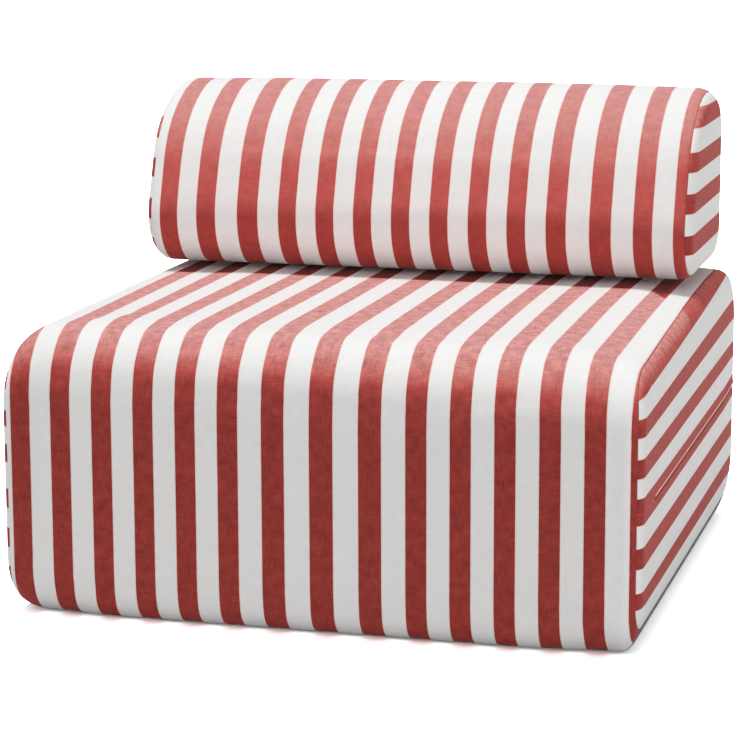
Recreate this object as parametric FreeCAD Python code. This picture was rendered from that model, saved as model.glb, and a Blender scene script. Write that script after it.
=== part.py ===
import FreeCAD, Part

import math
import os

# Armless outdoor lounge seat: a foam seat block and a loose back bolster, each in a zip-off striped cover.
# Millimetres. X runs across the seat, the front faces -Y, +Z is up, and the origin lies on the floor
# under the middle of the seat block.

# Seat block
seat_width = 849.0
seat_depth = 830.0
seat_height = 388.0
seat_top_radius = 75.0
seat_foot_radius = 45.0
seat_side_radius = 40.0
seat_crown_radius = 30000.0
seat_crest_from_front = 520.0
seat_seam_inset = 12.0
base_seam_inset = 32.0
comfort_layer = 88.0

# Back bolster
bolster_width = 816.0
bolster_depth = 303.0
bolster_height = 267.0
bolster_setback = 509.0
bolster_lean = 19.3
bolster_heel = 33.6
bolster_crown_radius = 203.0
bolster_crest_from_front = 190.0
bolster_front_foot_radius = 80.0
bolster_back_foot_radius = 60.0
bolster_back_top_radius = 65.0
bolster_front_top_radius = 140.0
bolster_side_radius = 26.0
bolster_seam_inset = 18.0

# Cloth and filling, as depths below the outer face of a cover
cloth = 1.2
wadding_outer = 1.7
wadding_inner = 18.2
foam_skin = 18.5

# Number of straight steps that round the end rims of a cover and of the wadding
cover_steps = 5
wadding_steps = 2

# Concealed zip: half heights about its centre line, then depths below the outer face
lip_gap = 1.5
hem_start = 6.5
zip_reach = 14.0
zip_room = 16.0
chain_gap = 0.9
coil_reach = 3.4
tape_outer = 4.6
tape_inner = 5.2
coil_inner = 7.4
zip_play = 0.05
stop_length = 3.0
stop_reach = 3.6
stop_outer = 4.2
stop_inner = 7.7
stop_chamfer = 1.0
zip_zone_depth = 30.0

# Zip runs
seat_zip_height = 201.0
seat_zip_from_front = 74.0
bolster_zip_height = 95.0
bolster_zip_half = 360.0

# Zip slider and pull, about the hinge of the pull
slider_length = 13.0
slider_mouth = 9.2
slider_tail = 6.6
slider_outer_plate = (2.9, 4.3)
slider_inner_plate = (7.9, 9.1)
slider_round = 1.5
slider_post = (4.0, 1.2)
slider_clear = 2.0
bridge_width = 1.8
bridge_length = 10.0
bridge_taper = 1.2
bridge_top = 3.4
bridge_round = 1.0
bridge_window = (4.4, 0.6, 2.4)
pull_hinge = 1.5
pull_pin_radius = 0.65
pull_eye = 6.5
pull_arm = (1.9, 3.4)
pull_length = 31.0
pull_width = 9.0
pull_round = 4.0
pull_slot = (9.0, 3.0)
pull_slot_round = 1.4
joint_lap = 0.5

# Hook and loop strips that hold the bolster on the seat
strip_length = 560.0
strip_width = 30.0
strip_thickness = 1.0
strip_gap = 0.3
strip_places = (640.0, 715.0)

front = -seat_depth / 2
back = seat_depth / 2
bolster_front = front + bolster_setback
bolster_back = bolster_front + bolster_depth
bolster_base = seat_height + 2 * strip_thickness + strip_gap
seat_seam = seat_width / 2 - seat_seam_inset
bolster_seam = bolster_width / 2 - bolster_seam_inset
far = 1000.0


def point(y, z):
    return FreeCAD.Vector(0, y, z)


def inward(direction):
    return point(-direction.z, direction.y)


def flat_edge(start, end):
    return {"start": start, "direction": (end - start).normalize()}


def crown_edge(centre, radius):
    return {"centre": centre, "radius": radius}


def corner_centre(before, after, radius):
    # Centre of the corner arc that touches both edges from inside
    flats = [edge for edge in (before, after) if "direction" in edge]
    along = flats[0]["direction"]
    base = flats[0]["start"] + inward(along) * radius
    if len(flats) == 2:
        across = inward(flats[1]["direction"])
        other = flats[1]["start"] + across * radius
        return base + along * ((other - base).dot(across) / along.dot(across))
    crown = after if flats[0] is before else before
    offset = base - crown["centre"]
    middle = -offset.dot(along)
    half = math.sqrt(middle ** 2 - offset.dot(offset) + (crown["radius"] - radius) ** 2)
    return base + along * (middle + half if flats[0] is before else middle - half)


def touch_point(edge, centre, inset):
    # Where a corner arc meets an edge that is moved inward by the inset
    if "direction" in edge:
        normal = inward(edge["direction"])
        depth = (centre - edge["start"]).dot(normal)
        return centre - normal * (depth - inset)
    outward = (centre - edge["centre"]).normalize()
    return edge["centre"] + outward * (edge["radius"] - inset)


def arc_between(start, end, centre, radius):
    middle = (start + end) * 0.5 - centre
    return Part.Arc(start, centre + middle.normalize() * radius, end).toShape()


def soft_section(edges, radii, inset):
    # Closed side outline: edges in turn, each joined to the next by a tangent corner arc
    count = len(edges)
    centres = [corner_centre(edges[k], edges[(k + 1) % count], radii[k]) for k in range(count)]
    outline = []
    for k in range(count):
        edge = edges[k]
        following = edges[(k + 1) % count]
        start = touch_point(edge, centres[k - 1], inset)
        end = touch_point(edge, centres[k], inset)
        if "direction" in edge:
            outline.append(Part.LineSegment(start, end).toShape())
        else:
            outline.append(arc_between(start, end, edge["centre"], edge["radius"] - inset))
        turned = touch_point(following, centres[k], inset)
        outline.append(arc_between(end, turned, centres[k], radii[k] - inset))
    return Part.Wire(outline)


def seat_section(inset):
    crest = front + seat_crest_from_front
    edges = [
        flat_edge(point(front, 0), point(back, 0)),
        flat_edge(point(back, 0), point(back, seat_height)),
        crown_edge(point(crest, seat_height - seat_crown_radius), seat_crown_radius),
        flat_edge(point(front, seat_height), point(front, 0)),
    ]
    radii = [seat_foot_radius, seat_top_radius, seat_top_radius, seat_foot_radius]
    return soft_section(edges, radii, inset)


def bolster_section(inset):
    crest = bolster_front + bolster_crest_from_front
    top = bolster_base + bolster_height
    heel = point(bolster_front - bolster_heel, bolster_base)
    rise = point(math.tan(math.radians(bolster_lean)), 1) * bolster_height
    edges = [
        flat_edge(heel, point(bolster_back, bolster_base)),
        flat_edge(point(bolster_back, bolster_base), point(bolster_back, top)),
        crown_edge(point(crest, top - bolster_crown_radius), bolster_crown_radius),
        flat_edge(heel + rise, heel),
    ]
    radii = [
        bolster_back_foot_radius,
        bolster_back_top_radius,
        bolster_front_top_radius,
        bolster_front_foot_radius,
    ]
    return soft_section(edges, radii, inset)


def soft_block(section, width, side_radius, inset, steps):
    # Side outline carried across the full width, shrinking over the rounded rim at each end
    radius = side_radius - inset
    shoulder = width / 2 - side_radius
    turns = [math.pi / 2 * step / steps for step in range(steps + 1)]
    rims = [(-shoulder - radius * math.sin(turn), turn) for turn in reversed(turns)]
    rims += [(shoulder + radius * math.sin(turn), turn) for turn in turns]
    outlines = []
    for across, turn in rims:
        outline = section(inset + radius * (1 - math.cos(turn)))
        outline.translate(FreeCAD.Vector(across, 0, 0))
        outlines.append(outline)
    return Part.makeLoft(outlines, True, True)


def cut_block(section, width, inset):
    # Foam cut to the side outline, with its ends cut off square
    half = width / 2 - inset
    end = Part.Face(section(inset))
    end.translate(FreeCAD.Vector(-half, 0, 0))
    return end.extrude(FreeCAD.Vector(2 * half, 0, 0))


def seat_block(inset, steps=cover_steps):
    return soft_block(seat_section, seat_width, seat_side_radius, inset, steps)


def bolster_block(inset, steps=cover_steps):
    return soft_block(bolster_section, bolster_width, bolster_side_radius, inset, steps)


def seat_foam(inset):
    return cut_block(seat_section, seat_width, inset)


def bolster_foam(inset):
    return cut_block(bolster_section, bolster_width, inset)


def slab(x, y, z):
    size = [high - low for low, high in (x, y, z)]
    return Part.makeBox(*size, FreeCAD.Vector(x[0], y[0], z[0]))


def layer(block, outer, inner):
    # Skin between two depths below the outer face
    return block(outer).cut(block(inner))


def save(name, shape):
    solids = shape.Solids
    kept = solids[0] if len(solids) == 1 else Part.makeCompound(solids)
    kept.exportStep(os.path.join("parts", name + ".step"))
    faults = [solid for solid in solids if not solid.isValid()]
    print(name, "solids", len(solids), "faults", len(faults), "cm3", round(kept.Volume / 1000, 2))


def seat_zip_zone(low, high):
    # Level band over the three zipped sides, between two heights about the zip
    height = (seat_zip_height + low, seat_zip_height + high)
    return slab((-far, far), (front + seat_zip_from_front, far), height)


def bolster_zip_zone(low, high):
    height = (bolster_base + bolster_zip_height + low, bolster_base + bolster_zip_height + high)
    return slab((-bolster_zip_half, bolster_zip_half), (bolster_back - zip_zone_depth, far), height)


def hemmed_cover(block, zone):
    # Cover skin, slit between the zip's lips, with a folded hem behind each lip
    hems = layer(block, cloth, tape_outer - zip_play)
    skin = layer(block, 0, cloth)
    for low, high in ((hem_start, zip_reach), (-zip_reach, -hem_start)):
        skin = skin.fuse(hems.common(zone(low, high)))
    return skin.cut(zone(-lip_gap, lip_gap))


def seat_cover():
    cover = hemmed_cover(seat_block, seat_zip_zone)
    middle = cover.common(slab((-seat_seam, seat_seam), (-far, far), (-far, far)))
    base_edge = back - base_seam_inset
    base_zone = slab((-far, far), (-base_edge, base_edge), (-far, seat_foot_radius / 2))
    behind_zone = slab((-far, far), (0, far), (-far, seat_zip_height))
    save("seat_base_panel", middle.common(base_zone))
    middle = middle.cut(base_zone)
    save("seat_back_lower_panel", middle.common(behind_zone))
    save("seat_main_panel", middle.cut(behind_zone))
    sides = {"right": (seat_seam, far), "left": (-far, -seat_seam)}
    halves = {"upper": (seat_zip_height, far), "lower": (-far, seat_zip_height)}
    for side, across in sides.items():
        for half, height in halves.items():
            save(f"seat_{side}_{half}_panel", cover.common(slab(across, (-far, far), height)))


def seat_filling():
    foam = seat_foam(foam_skin)
    split = seat_height - comfort_layer
    save("seat_base_foam", foam.common(slab((-far, far), (-far, far), (-far, split))))
    save("seat_comfort_foam", foam.common(slab((-far, far), (-far, far), (split, far))))
    room = seat_zip_zone(-zip_room, zip_room)
    room = room.fuse(room.translated(FreeCAD.Vector(0, -2 * stop_length, 0)))
    wadding = seat_block(wadding_outer, wadding_steps).cut(seat_foam(wadding_inner))
    save("seat_wadding", wadding.cut(room))


def bolster_cover():
    cover = hemmed_cover(bolster_block, bolster_zip_zone)
    wrap = slab((-bolster_seam, bolster_seam), (-far, far), (-far, far))
    save("bolster_wrap_panel", cover.common(wrap))
    for side, across in (("right", (bolster_seam, far)), ("left", (-far, -bolster_seam))):
        save(f"bolster_{side}_end_panel", cover.common(slab(across, (-far, far), (-far, far))))


def bolster_filling():
    save("bolster_foam", bolster_foam(foam_skin))
    room = bolster_zip_zone(-zip_room, zip_room)
    for way in (-1, 1):
        room = room.fuse(room.translated(FreeCAD.Vector(way * 2 * stop_length, 0, 0)))
    wadding = bolster_block(wadding_outer, wadding_steps).cut(bolster_foam(wadding_inner))
    save("bolster_wadding", wadding.cut(room))


def zip_chain(owner, block, zone):
    # Two tapes, each with its coil on the hidden face; the halves stand just far enough apart for the post
    tape = layer(block, tape_outer, tape_inner)
    coil = layer(block, tape_inner + zip_play, coil_inner)
    for half, way in (("upper", 1), ("lower", -1)):
        save(f"{owner}_zip_{half}_tape", tape.common(zone(*sorted((way * chain_gap, way * zip_reach)))))
        save(f"{owner}_zip_{half}_coil", coil.common(zone(*sorted((way * chain_gap, way * coil_reach)))))


def outward_edges(shape):
    # Edges that run straight out of the cover, in the zip's own frame: along the zip, up, outward
    return [edge for edge in shape.Edges if abs(edge.tangentAt(0).z) > 0.9]


def zip_stop():
    size = (stop_length, 2 * stop_reach, stop_inner - stop_outer)
    stop = Part.makeBox(*size, FreeCAD.Vector(0, -stop_reach, -stop_inner))
    return stop.makeChamfer(stop_chamfer, outward_edges(stop))


def zip_frame(origin, outward):
    # Placement whose axes run along the zip, up and out of the cover
    up = FreeCAD.Vector(0, 0, 1)
    return FreeCAD.Placement(origin, FreeCAD.Rotation(up.cross(outward), up, outward, "ZXY"))


def slider_plate(depths):
    # Shield-shaped plate, wider at the mouth where the two tapes part
    half = slider_length / 2
    mouth = slider_mouth / 2
    tail = slider_tail / 2
    corners = [(-half, -tail), (half, -mouth), (half, mouth), (-half, tail), (-half, -tail)]
    outline = Part.makePolygon([FreeCAD.Vector(x, y, -depths[1]) for x, y in corners])
    plate = Part.Face(outline).extrude(FreeCAD.Vector(0, 0, depths[1] - depths[0]))
    return plate.makeFillet(slider_round, outward_edges(plate))


def slider_bridge():
    # Arch that stands out between the lips, with a window for the pin of the pull
    foot = bridge_length / 2
    shoulder = foot - bridge_taper
    base = -slider_outer_plate[0] - joint_lap
    arch = [(-foot, base), (-shoulder, bridge_top), (shoulder, bridge_top), (foot, base), (-foot, base)]
    corners = [FreeCAD.Vector(x, -bridge_width / 2, z) for x, z in arch]
    bridge = Part.Face(Part.makePolygon(corners)).extrude(FreeCAD.Vector(0, bridge_width, 0))
    crosswise = [edge for edge in bridge.Edges if abs(edge.tangentAt(0).y) > 0.9]
    bridge = bridge.makeFillet(bridge_round, [edge for edge in crosswise if edge.CenterOfMass.z > 0])
    length, low, high = bridge_window
    return bridge.cut(slab((-length / 2, length / 2), (-far, far), (low, high)))


def slider_body():
    # Two plates joined by a post that runs between the halves of the chain
    length, width = slider_post
    depths = (-slider_inner_plate[0] - joint_lap, -slider_outer_plate[1] + joint_lap)
    post = slab((-length / 2, length / 2), (-width / 2, width / 2), depths)
    plates = [slider_plate(slider_outer_plate), slider_plate(slider_inner_plate)]
    return plates[0].fuse([plates[1], post, slider_bridge()]).removeSplitter()


def zip_pull():
    # Tab on an open eye, whose pin turns inside the slider's bridge
    level = (pull_hinge - pull_pin_radius, pull_hinge + pull_pin_radius)
    half = pull_width / 2
    tab = slab((pull_eye, pull_length), (-half, half), level)
    tip = [edge for edge in outward_edges(tab) if edge.CenterOfMass.x > pull_eye + half]
    tab = tab.makeFillet(pull_round, tip)
    slot_length, slot_width = pull_slot
    slot_end = pull_length - half
    slot = slab((slot_end - slot_length, slot_end), (-slot_width / 2, slot_width / 2), level)
    slot = slot.makeFillet(pull_slot_round, outward_edges(slot))
    inner, outer = pull_arm
    arms = [slab((0, pull_eye + joint_lap), across, level) for across in ((-outer, -inner), (inner, outer))]
    pin_start = FreeCAD.Vector(0, -outer, pull_hinge)
    pin = Part.makeCylinder(pull_pin_radius, 2 * outer, pin_start, FreeCAD.Vector(0, 1, 0))
    return tab.cut(slot).fuse(arms + [pin]).removeSplitter()


def zip_hardware(owner, closed_end, far_end):
    # Stops at both ends of the chain, and the slider with its pull parked at the closed end
    stops = []
    for place, outward in (closed_end, far_end):
        stop = zip_stop()
        stop.Placement = zip_frame(place, outward)
        stops.append(stop)
    save(f"{owner}_zip_stops", Part.makeCompound(stops))
    place, outward = closed_end
    along = zip_frame(place, outward).Rotation.multVec(FreeCAD.Vector(1, 0, 0))
    rest = place - along * (slider_length / 2 + slider_clear)
    for name, shape in (("slider", slider_body()), ("pull", zip_pull())):
        shape.Placement = zip_frame(rest, outward)
        save(f"{owner}_zip_{name}", shape)
    print(owner, "pull hinge at", rest + outward * pull_hinge)


def seat_zip():
    zip_chain("seat", seat_block, seat_zip_zone)
    start = front + seat_zip_from_front
    closed_end = (FreeCAD.Vector(-seat_width / 2, start, seat_zip_height), FreeCAD.Vector(-1, 0, 0))
    far_end = (FreeCAD.Vector(seat_width / 2, start - stop_length, seat_zip_height), FreeCAD.Vector(1, 0, 0))
    zip_hardware("seat", closed_end, far_end)


def bolster_zip():
    zip_chain("bolster", bolster_block, bolster_zip_zone)
    behind = FreeCAD.Vector(0, 1, 0)
    height = bolster_base + bolster_zip_height
    closed_end = (FreeCAD.Vector(-bolster_zip_half, bolster_back, height), behind)
    far_end = (FreeCAD.Vector(bolster_zip_half + stop_length, bolster_back, height), behind)
    zip_hardware("bolster", closed_end, far_end)


def holding_strips():
    # Loop strips follow the crown of the seat, and hook strips lie flat under the bolster
    loops = layer(seat_block, -strip_thickness, -zip_play)
    across = (-strip_length / 2, strip_length / 2)
    loop_strips = []
    hook_strips = []
    for place in strip_places:
        along = (front + place - strip_width / 2, front + place + strip_width / 2)
        loop_strips.append(loops.common(slab(across, along, (seat_height / 2, far))))
        hook_strips.append(slab(across, along, (bolster_base - strip_thickness, bolster_base - zip_play)))
    save("seat_loop_strips", Part.makeCompound(loop_strips))
    save("bolster_hook_strips", Part.makeCompound(hook_strips))


def main():
    os.makedirs("parts", exist_ok=True)
    seat_cover()
    seat_filling()
    seat_zip()
    bolster_cover()
    bolster_filling()
    bolster_zip()
    holding_strips()


main()
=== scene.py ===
import math

import bmesh
import bpy
import numpy as np
from mathutils import Matrix, Vector
from mathutils.kdtree import KDTree


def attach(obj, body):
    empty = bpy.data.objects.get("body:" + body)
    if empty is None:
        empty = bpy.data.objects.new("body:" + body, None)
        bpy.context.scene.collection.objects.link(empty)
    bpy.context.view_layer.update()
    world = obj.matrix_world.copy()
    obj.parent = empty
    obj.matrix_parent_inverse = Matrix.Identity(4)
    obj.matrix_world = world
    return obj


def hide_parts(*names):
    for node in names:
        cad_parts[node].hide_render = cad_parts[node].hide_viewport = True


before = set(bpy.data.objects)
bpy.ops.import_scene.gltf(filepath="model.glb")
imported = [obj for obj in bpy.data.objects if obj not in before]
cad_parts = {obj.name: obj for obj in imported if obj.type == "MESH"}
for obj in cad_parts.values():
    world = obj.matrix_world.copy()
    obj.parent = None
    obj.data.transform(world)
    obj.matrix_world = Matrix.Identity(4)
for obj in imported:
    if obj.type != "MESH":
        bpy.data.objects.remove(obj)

scene = bpy.context.scene
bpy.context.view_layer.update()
mm = 0.001
toMetres = Matrix.Scale(mm, 4)

viewpoint = {
    "place": (0.9639, -3.6085, 1.0067),
    "tilt": 78.918, "yaw": 15.513, "roll": -0.186,
    "lens": 132.1, "sensor": 36.0,
}

studio = {
    "ambient": 0.42,
    "overhead": {"from": (-0.30, 0.05, 1.0), "softness": 12.0, "strength": 2.22},
    "frontFill": {"from": (0.15, -1.0, 0.06), "softness": 6.0, "strength": 0.92},
    "rightFill": {"from": (1.0, -0.2, 0.06), "softness": 6.0, "strength": 0.78},
    "lampAway": 3.0,
    "floorColour": (0.40, 0.40, 0.40, 1.0), "floorSeen": (3.5, 3.5, 3.5, 1.0),
    "floorReach": 9.0, "floorDrop": 0.5 * mm,
}


def link(piece):
    scene.collection.objects.link(piece)
    return piece


def newMaterial(name):
    finish = bpy.data.materials.new(name)
    finish.use_nodes = True
    return finish, finish.node_tree.nodes, finish.node_tree.links


def mathNode(nodes, links, operation, first, second):
    node = nodes.new("ShaderNodeMath")
    node.operation = operation
    for socket, value in zip(node.inputs, (first, second)):
        if isinstance(value, (int, float)):
            socket.default_value = value
        else:
            links.new(value, socket)
    return node.outputs[0]


def makeCamera():
    lens = bpy.data.cameras.new("photoCamera")
    lens.lens = viewpoint["lens"]
    lens.sensor_width = viewpoint["sensor"]
    camera = link(bpy.data.objects.new("photoCamera", lens))
    camera.location = viewpoint["place"]
    aim = Matrix.Rotation(math.radians(viewpoint["yaw"]), 3, "Z")
    aim = aim @ Matrix.Rotation(math.radians(viewpoint["tilt"]), 3, "X")
    camera.rotation_euler = (aim @ Matrix.Rotation(math.radians(viewpoint["roll"]), 3, "Z")).to_euler()
    scene.camera = camera


def softLight(name):
    # A far, wide lamp, so that the floor is lit evenly
    setting = studio[name]
    lamp = bpy.data.lights.new(name, "SUN")
    lamp.angle = math.radians(setting["softness"])
    lamp.energy = setting["strength"]
    holder = link(bpy.data.objects.new(name, lamp))
    holder.location = Vector(setting["from"]) * studio["lampAway"]
    holder.rotation_euler = Vector(setting["from"]).to_track_quat("Z", "Y").to_euler()


def colouredShader(nodes, kind, colour):
    shader = nodes.new(kind)
    shader.inputs["Color"].default_value = colour
    return shader


def paleWhereSeen(nodes, links, unseen, seen, output):
    # The camera, gloss and glass meet the second shader, all other rays the first
    path = nodes.new("ShaderNodeLightPath")
    direct = mathNode(nodes, links, "MAXIMUM", path.outputs["Is Camera Ray"], path.outputs["Is Glossy Ray"])
    direct = mathNode(nodes, links, "MAXIMUM", direct, path.outputs["Is Transmission Ray"])
    choose = nodes.new("ShaderNodeMixShader")
    links.new(direct, choose.inputs["Fac"])
    links.new(unseen.outputs[0], choose.inputs[1])
    links.new(seen.outputs[0], choose.inputs[2])
    links.new(choose.outputs[0], output.inputs["Surface"])


def makeStudio():
    world = bpy.data.worlds.new("paleStudio")
    scene.world = world
    world.use_nodes = True
    nodes, links = world.node_tree.nodes, world.node_tree.links
    nodes.clear()
    white = (1.0, 1.0, 1.0, 1.0)
    ambient = colouredShader(nodes, "ShaderNodeBackground", white)
    ambient.inputs["Strength"].default_value = studio["ambient"]
    backdrop = colouredShader(nodes, "ShaderNodeBackground", white)
    paleWhereSeen(nodes, links, ambient, backdrop, nodes.new("ShaderNodeOutputWorld"))

    mesh = bpy.data.meshes.new("paleFloor")
    reach = studio["floorReach"]
    corners = [(-reach, -reach, 0), (reach, -reach, 0), (reach, reach, 0), (-reach, reach, 0)]
    mesh.from_pydata(corners, [], [(0, 1, 2, 3)])
    floor = link(bpy.data.objects.new("paleFloor", mesh))
    floor.location.z = -studio["floorDrop"]
    paint, nodes, links = newMaterial("palePaper")
    nodes.clear()
    paper = colouredShader(nodes, "ShaderNodeBsdfDiffuse", studio["floorColour"])
    seen = colouredShader(nodes, "ShaderNodeBsdfDiffuse", studio["floorSeen"])
    paleWhereSeen(nodes, links, paper, seen, nodes.new("ShaderNodeOutputMaterial"))
    mesh.materials.append(paint)
    for name in ("overhead", "frontFill", "rightFill"):
        softLight(name)
    scene.view_settings.view_transform = "Standard"


makeCamera()
makeStudio()
print("camera and studio ready")

canvasLook = {
    # Gains by how far the cloth faces up paint light on the reds: paler on upward faces
    "red": {
        "colour": (0.36, 0.0455, 0.037), "deep": (0.185, 0.0205, 0.016), "tint": (1.0, 0.75, 0.72), "sheen": 0.03,
        "litGains": [(0.0, (1.0, 1.0, 1.0)), (0.33, (1.47, 1.7, 1.8)), (0.5, (1.82, 3.5, 3.75)),
                  (0.72, (2.02, 6.1, 6.8)), (1.0, (2.14, 7.9, 9.3))],
    },
    # The bolster's red is a paler, lit copy of the red: painted light on its front
    "bolsterLitRed": {
        "colour": (0.41, 0.056, 0.047), "deep": (0.31, 0.038, 0.031), "tint": (1.0, 0.75, 0.72), "sheen": 0.03,
        "litGains": [(0.0, (1.0, 1.0, 1.0)), (0.33, (1.36, 1.85, 1.95)), (0.5, (1.5, 3.1, 3.25)),
                  (0.72, (1.55, 4.3, 4.66)), (1.0, (1.585, 5.2, 5.94))],
    },
    "white": {"colour": (0.80, 0.795, 0.785), "deep": (0.75, 0.745, 0.735), "tint": (0.9, 0.9, 0.9), "sheen": 0.1},
    "line": {"colour": (0.84, 0.70, 0.66), "deep": (0.74, 0.58, 0.54), "tint": (0.95, 0.85, 0.83), "sheen": 0.15},
    # lip is a painted highlight on the upper lip's edge; shade is painted shade in the zip's slit
    "lip": {"colour": (0.90, 0.50, 0.47), "deep": (0.80, 0.42, 0.39), "tint": (0.95, 0.8, 0.78), "sheen": 0.1},
    "shade": {"colour": (0.13, 0.020, 0.016), "deep": (0.10, 0.014, 0.012), "tint": (0.9, 0.6, 0.6), "sheen": 0.0},
    # under is base cloth turned up at the foot, painted darker as shade of the floor contact
    "under": {"colour": (0.030, 0.028, 0.028), "deep": (0.020, 0.018, 0.018), "tint": (0.5, 0.5, 0.5), "sheen": 0.0},
}
canvasNames = {
    "red": "redCanvas", "bolsterLitRed": "bolsterLitRedCanvas", "white": "whiteCanvas", "line": "stripeEdgeYarn",
    "lip": "lipHighlightCanvas", "shade": "slitShadeCanvas", "under": "darkFootCanvas",
}
canvasOrder = ["red", "white", "line", "lip", "shade", "under"]
weaveLook = {
    "yarn": 0.9 * mm, "slub": (1100.0, 55.0), "patch": 70.0, "spread": (1.15, 1.85),
    "relief": 0.25, "bump": 0.35, "bumpDepth": 0.25 * mm,
    "slubRange": (0.6, 1.4), "rough": (0.92, 0.8), "gloss": 0.2, "sheenRoughness": 0.45,
}
# Painted shadow of the bolster on the seat's top, under the bolster and beside its end, where the red stays deep and
# darker
paintedShadow = {
    "behind": (80 * mm, 96 * mm), "seatTop": 389 * mm, "leftEnd": (-408 * mm, -375 * mm),
    "corner": 352 * mm, "slant": 1.6, "beside": (364 * mm, 387 * mm), "least": 0.55,
    "shadowGain": (0.65, 0.6, 0.6), "upright": 0.1,
}


def stretchedNoise(nodes, links, source, stretch, detail=2.0):
    mapping = nodes.new("ShaderNodeMapping")
    mapping.inputs["Scale"].default_value = stretch
    links.new(source, mapping.inputs["Vector"])
    noise = nodes.new("ShaderNodeTexNoise")
    noise.inputs["Scale"].default_value = 1.0
    noise.inputs["Detail"].default_value = detail
    links.new(mapping.outputs[0], noise.inputs["Vector"])
    return noise.outputs["Fac"]


def ranged(nodes, links, value, source, target=(0.0, 1.0), smooth=False):
    ramp = nodes.new("ShaderNodeMapRange")
    if smooth:
        ramp.interpolation_type = "SMOOTHSTEP"
    for name, bound in zip(("From Min", "From Max", "To Min", "To Max"), (*source, *target)):
        ramp.inputs[name].default_value = bound
    links.new(value, ramp.inputs["Value"])
    return ramp.outputs[0]


def mixedColour(nodes, links, share, look):
    colour = nodes.new("ShaderNodeMix")
    colour.data_type = "RGBA"
    links.new(share, colour.inputs["Factor"])
    colour.inputs["A"].default_value = (*look["deep"], 1.0)
    colour.inputs["B"].default_value = (*look["colour"], 1.0)
    return colour.outputs["Result"]


def reliefNormal(nodes, links, height, strength, depth):
    bump = nodes.new("ShaderNodeBump")
    bump.inputs["Strength"].default_value = strength
    bump.inputs["Distance"].default_value = depth
    links.new(height, bump.inputs["Height"])
    return bump.outputs[0]


def outsidePaintedShadow(nodes, links, place):
    # 1 outside the painted shadow of the bolster, less inside it
    def work(operation, first, second):
        return mathNode(nodes, links, operation, first, second)

    def eased(value, bounds):
        return ranged(nodes, links, value, bounds, smooth=True)

    split = nodes.new("ShaderNodeSeparateXYZ")
    links.new(place, split.inputs[0])
    across, backward, height = split.outputs
    past = work("MAXIMUM", work("SUBTRACT", across, paintedShadow["corner"]), 0.0)
    shadowed = eased(work("ADD", work("MULTIPLY", past, paintedShadow["slant"]), backward), paintedShadow["behind"])
    shadowed = work("MULTIPLY", shadowed, work("LESS_THAN", height, paintedShadow["seatTop"]))
    shadowed = work("MULTIPLY", shadowed, eased(across, paintedShadow["leftEnd"]))
    beside = eased(across, paintedShadow["beside"])
    share = work("SUBTRACT", 1.0, work("MULTIPLY", beside, paintedShadow["least"]))
    return work("SUBTRACT", 1.0, work("MULTIPLY", shadowed, share))


def paintLightAndShadow(nodes, links, colour, look):
    # Painted light and shade: dyed yarn is painted paler the more it faces up, by the cushion's own directions, and
    # darker in the bolster's painted shadow
    if "litGains" not in look:
        return colour
    upright = paintedShadow["upright"]
    facing = nodes.new("ShaderNodeTexCoord")
    split = nodes.new("ShaderNodeSeparateXYZ")
    links.new(facing.outputs["Normal"], split.inputs[0])
    unshaded = outsidePaintedShadow(nodes, links, facing.outputs["Object"])
    upward = mathNode(nodes, links, "MAXIMUM", split.outputs[2], 0.0)
    paler = mathNode(nodes, links, "MULTIPLY", upward, mathNode(nodes, links, "SUBTRACT", unshaded, upright))
    ramp = nodes.new("ShaderNodeValToRGB")
    links.new(mathNode(nodes, links, "ADD", paler, upright), ramp.inputs["Fac"])
    # The first stop darkens the red in the bolster's painted shadow
    gains = [(0.0, paintedShadow["shadowGain"])]
    gains += [(upright + (1 - upright) * place, gain) for place, gain in look["litGains"]]
    stops = ramp.color_ramp.elements
    while len(stops) < len(gains):
        stops.new(0.5)
    for stop, (place, gain) in zip(stops, gains):
        stop.position = place
        stop.color = (*gain, 1.0)
    fade = nodes.new("ShaderNodeMix")
    fade.data_type = "RGBA"
    fade.blend_type = "MULTIPLY"
    fade.inputs["Factor"].default_value = 1.0
    links.new(colour, fade.inputs["A"])
    links.new(ramp.outputs["Color"], fade.inputs["B"])
    return fade.outputs["Result"]


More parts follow.
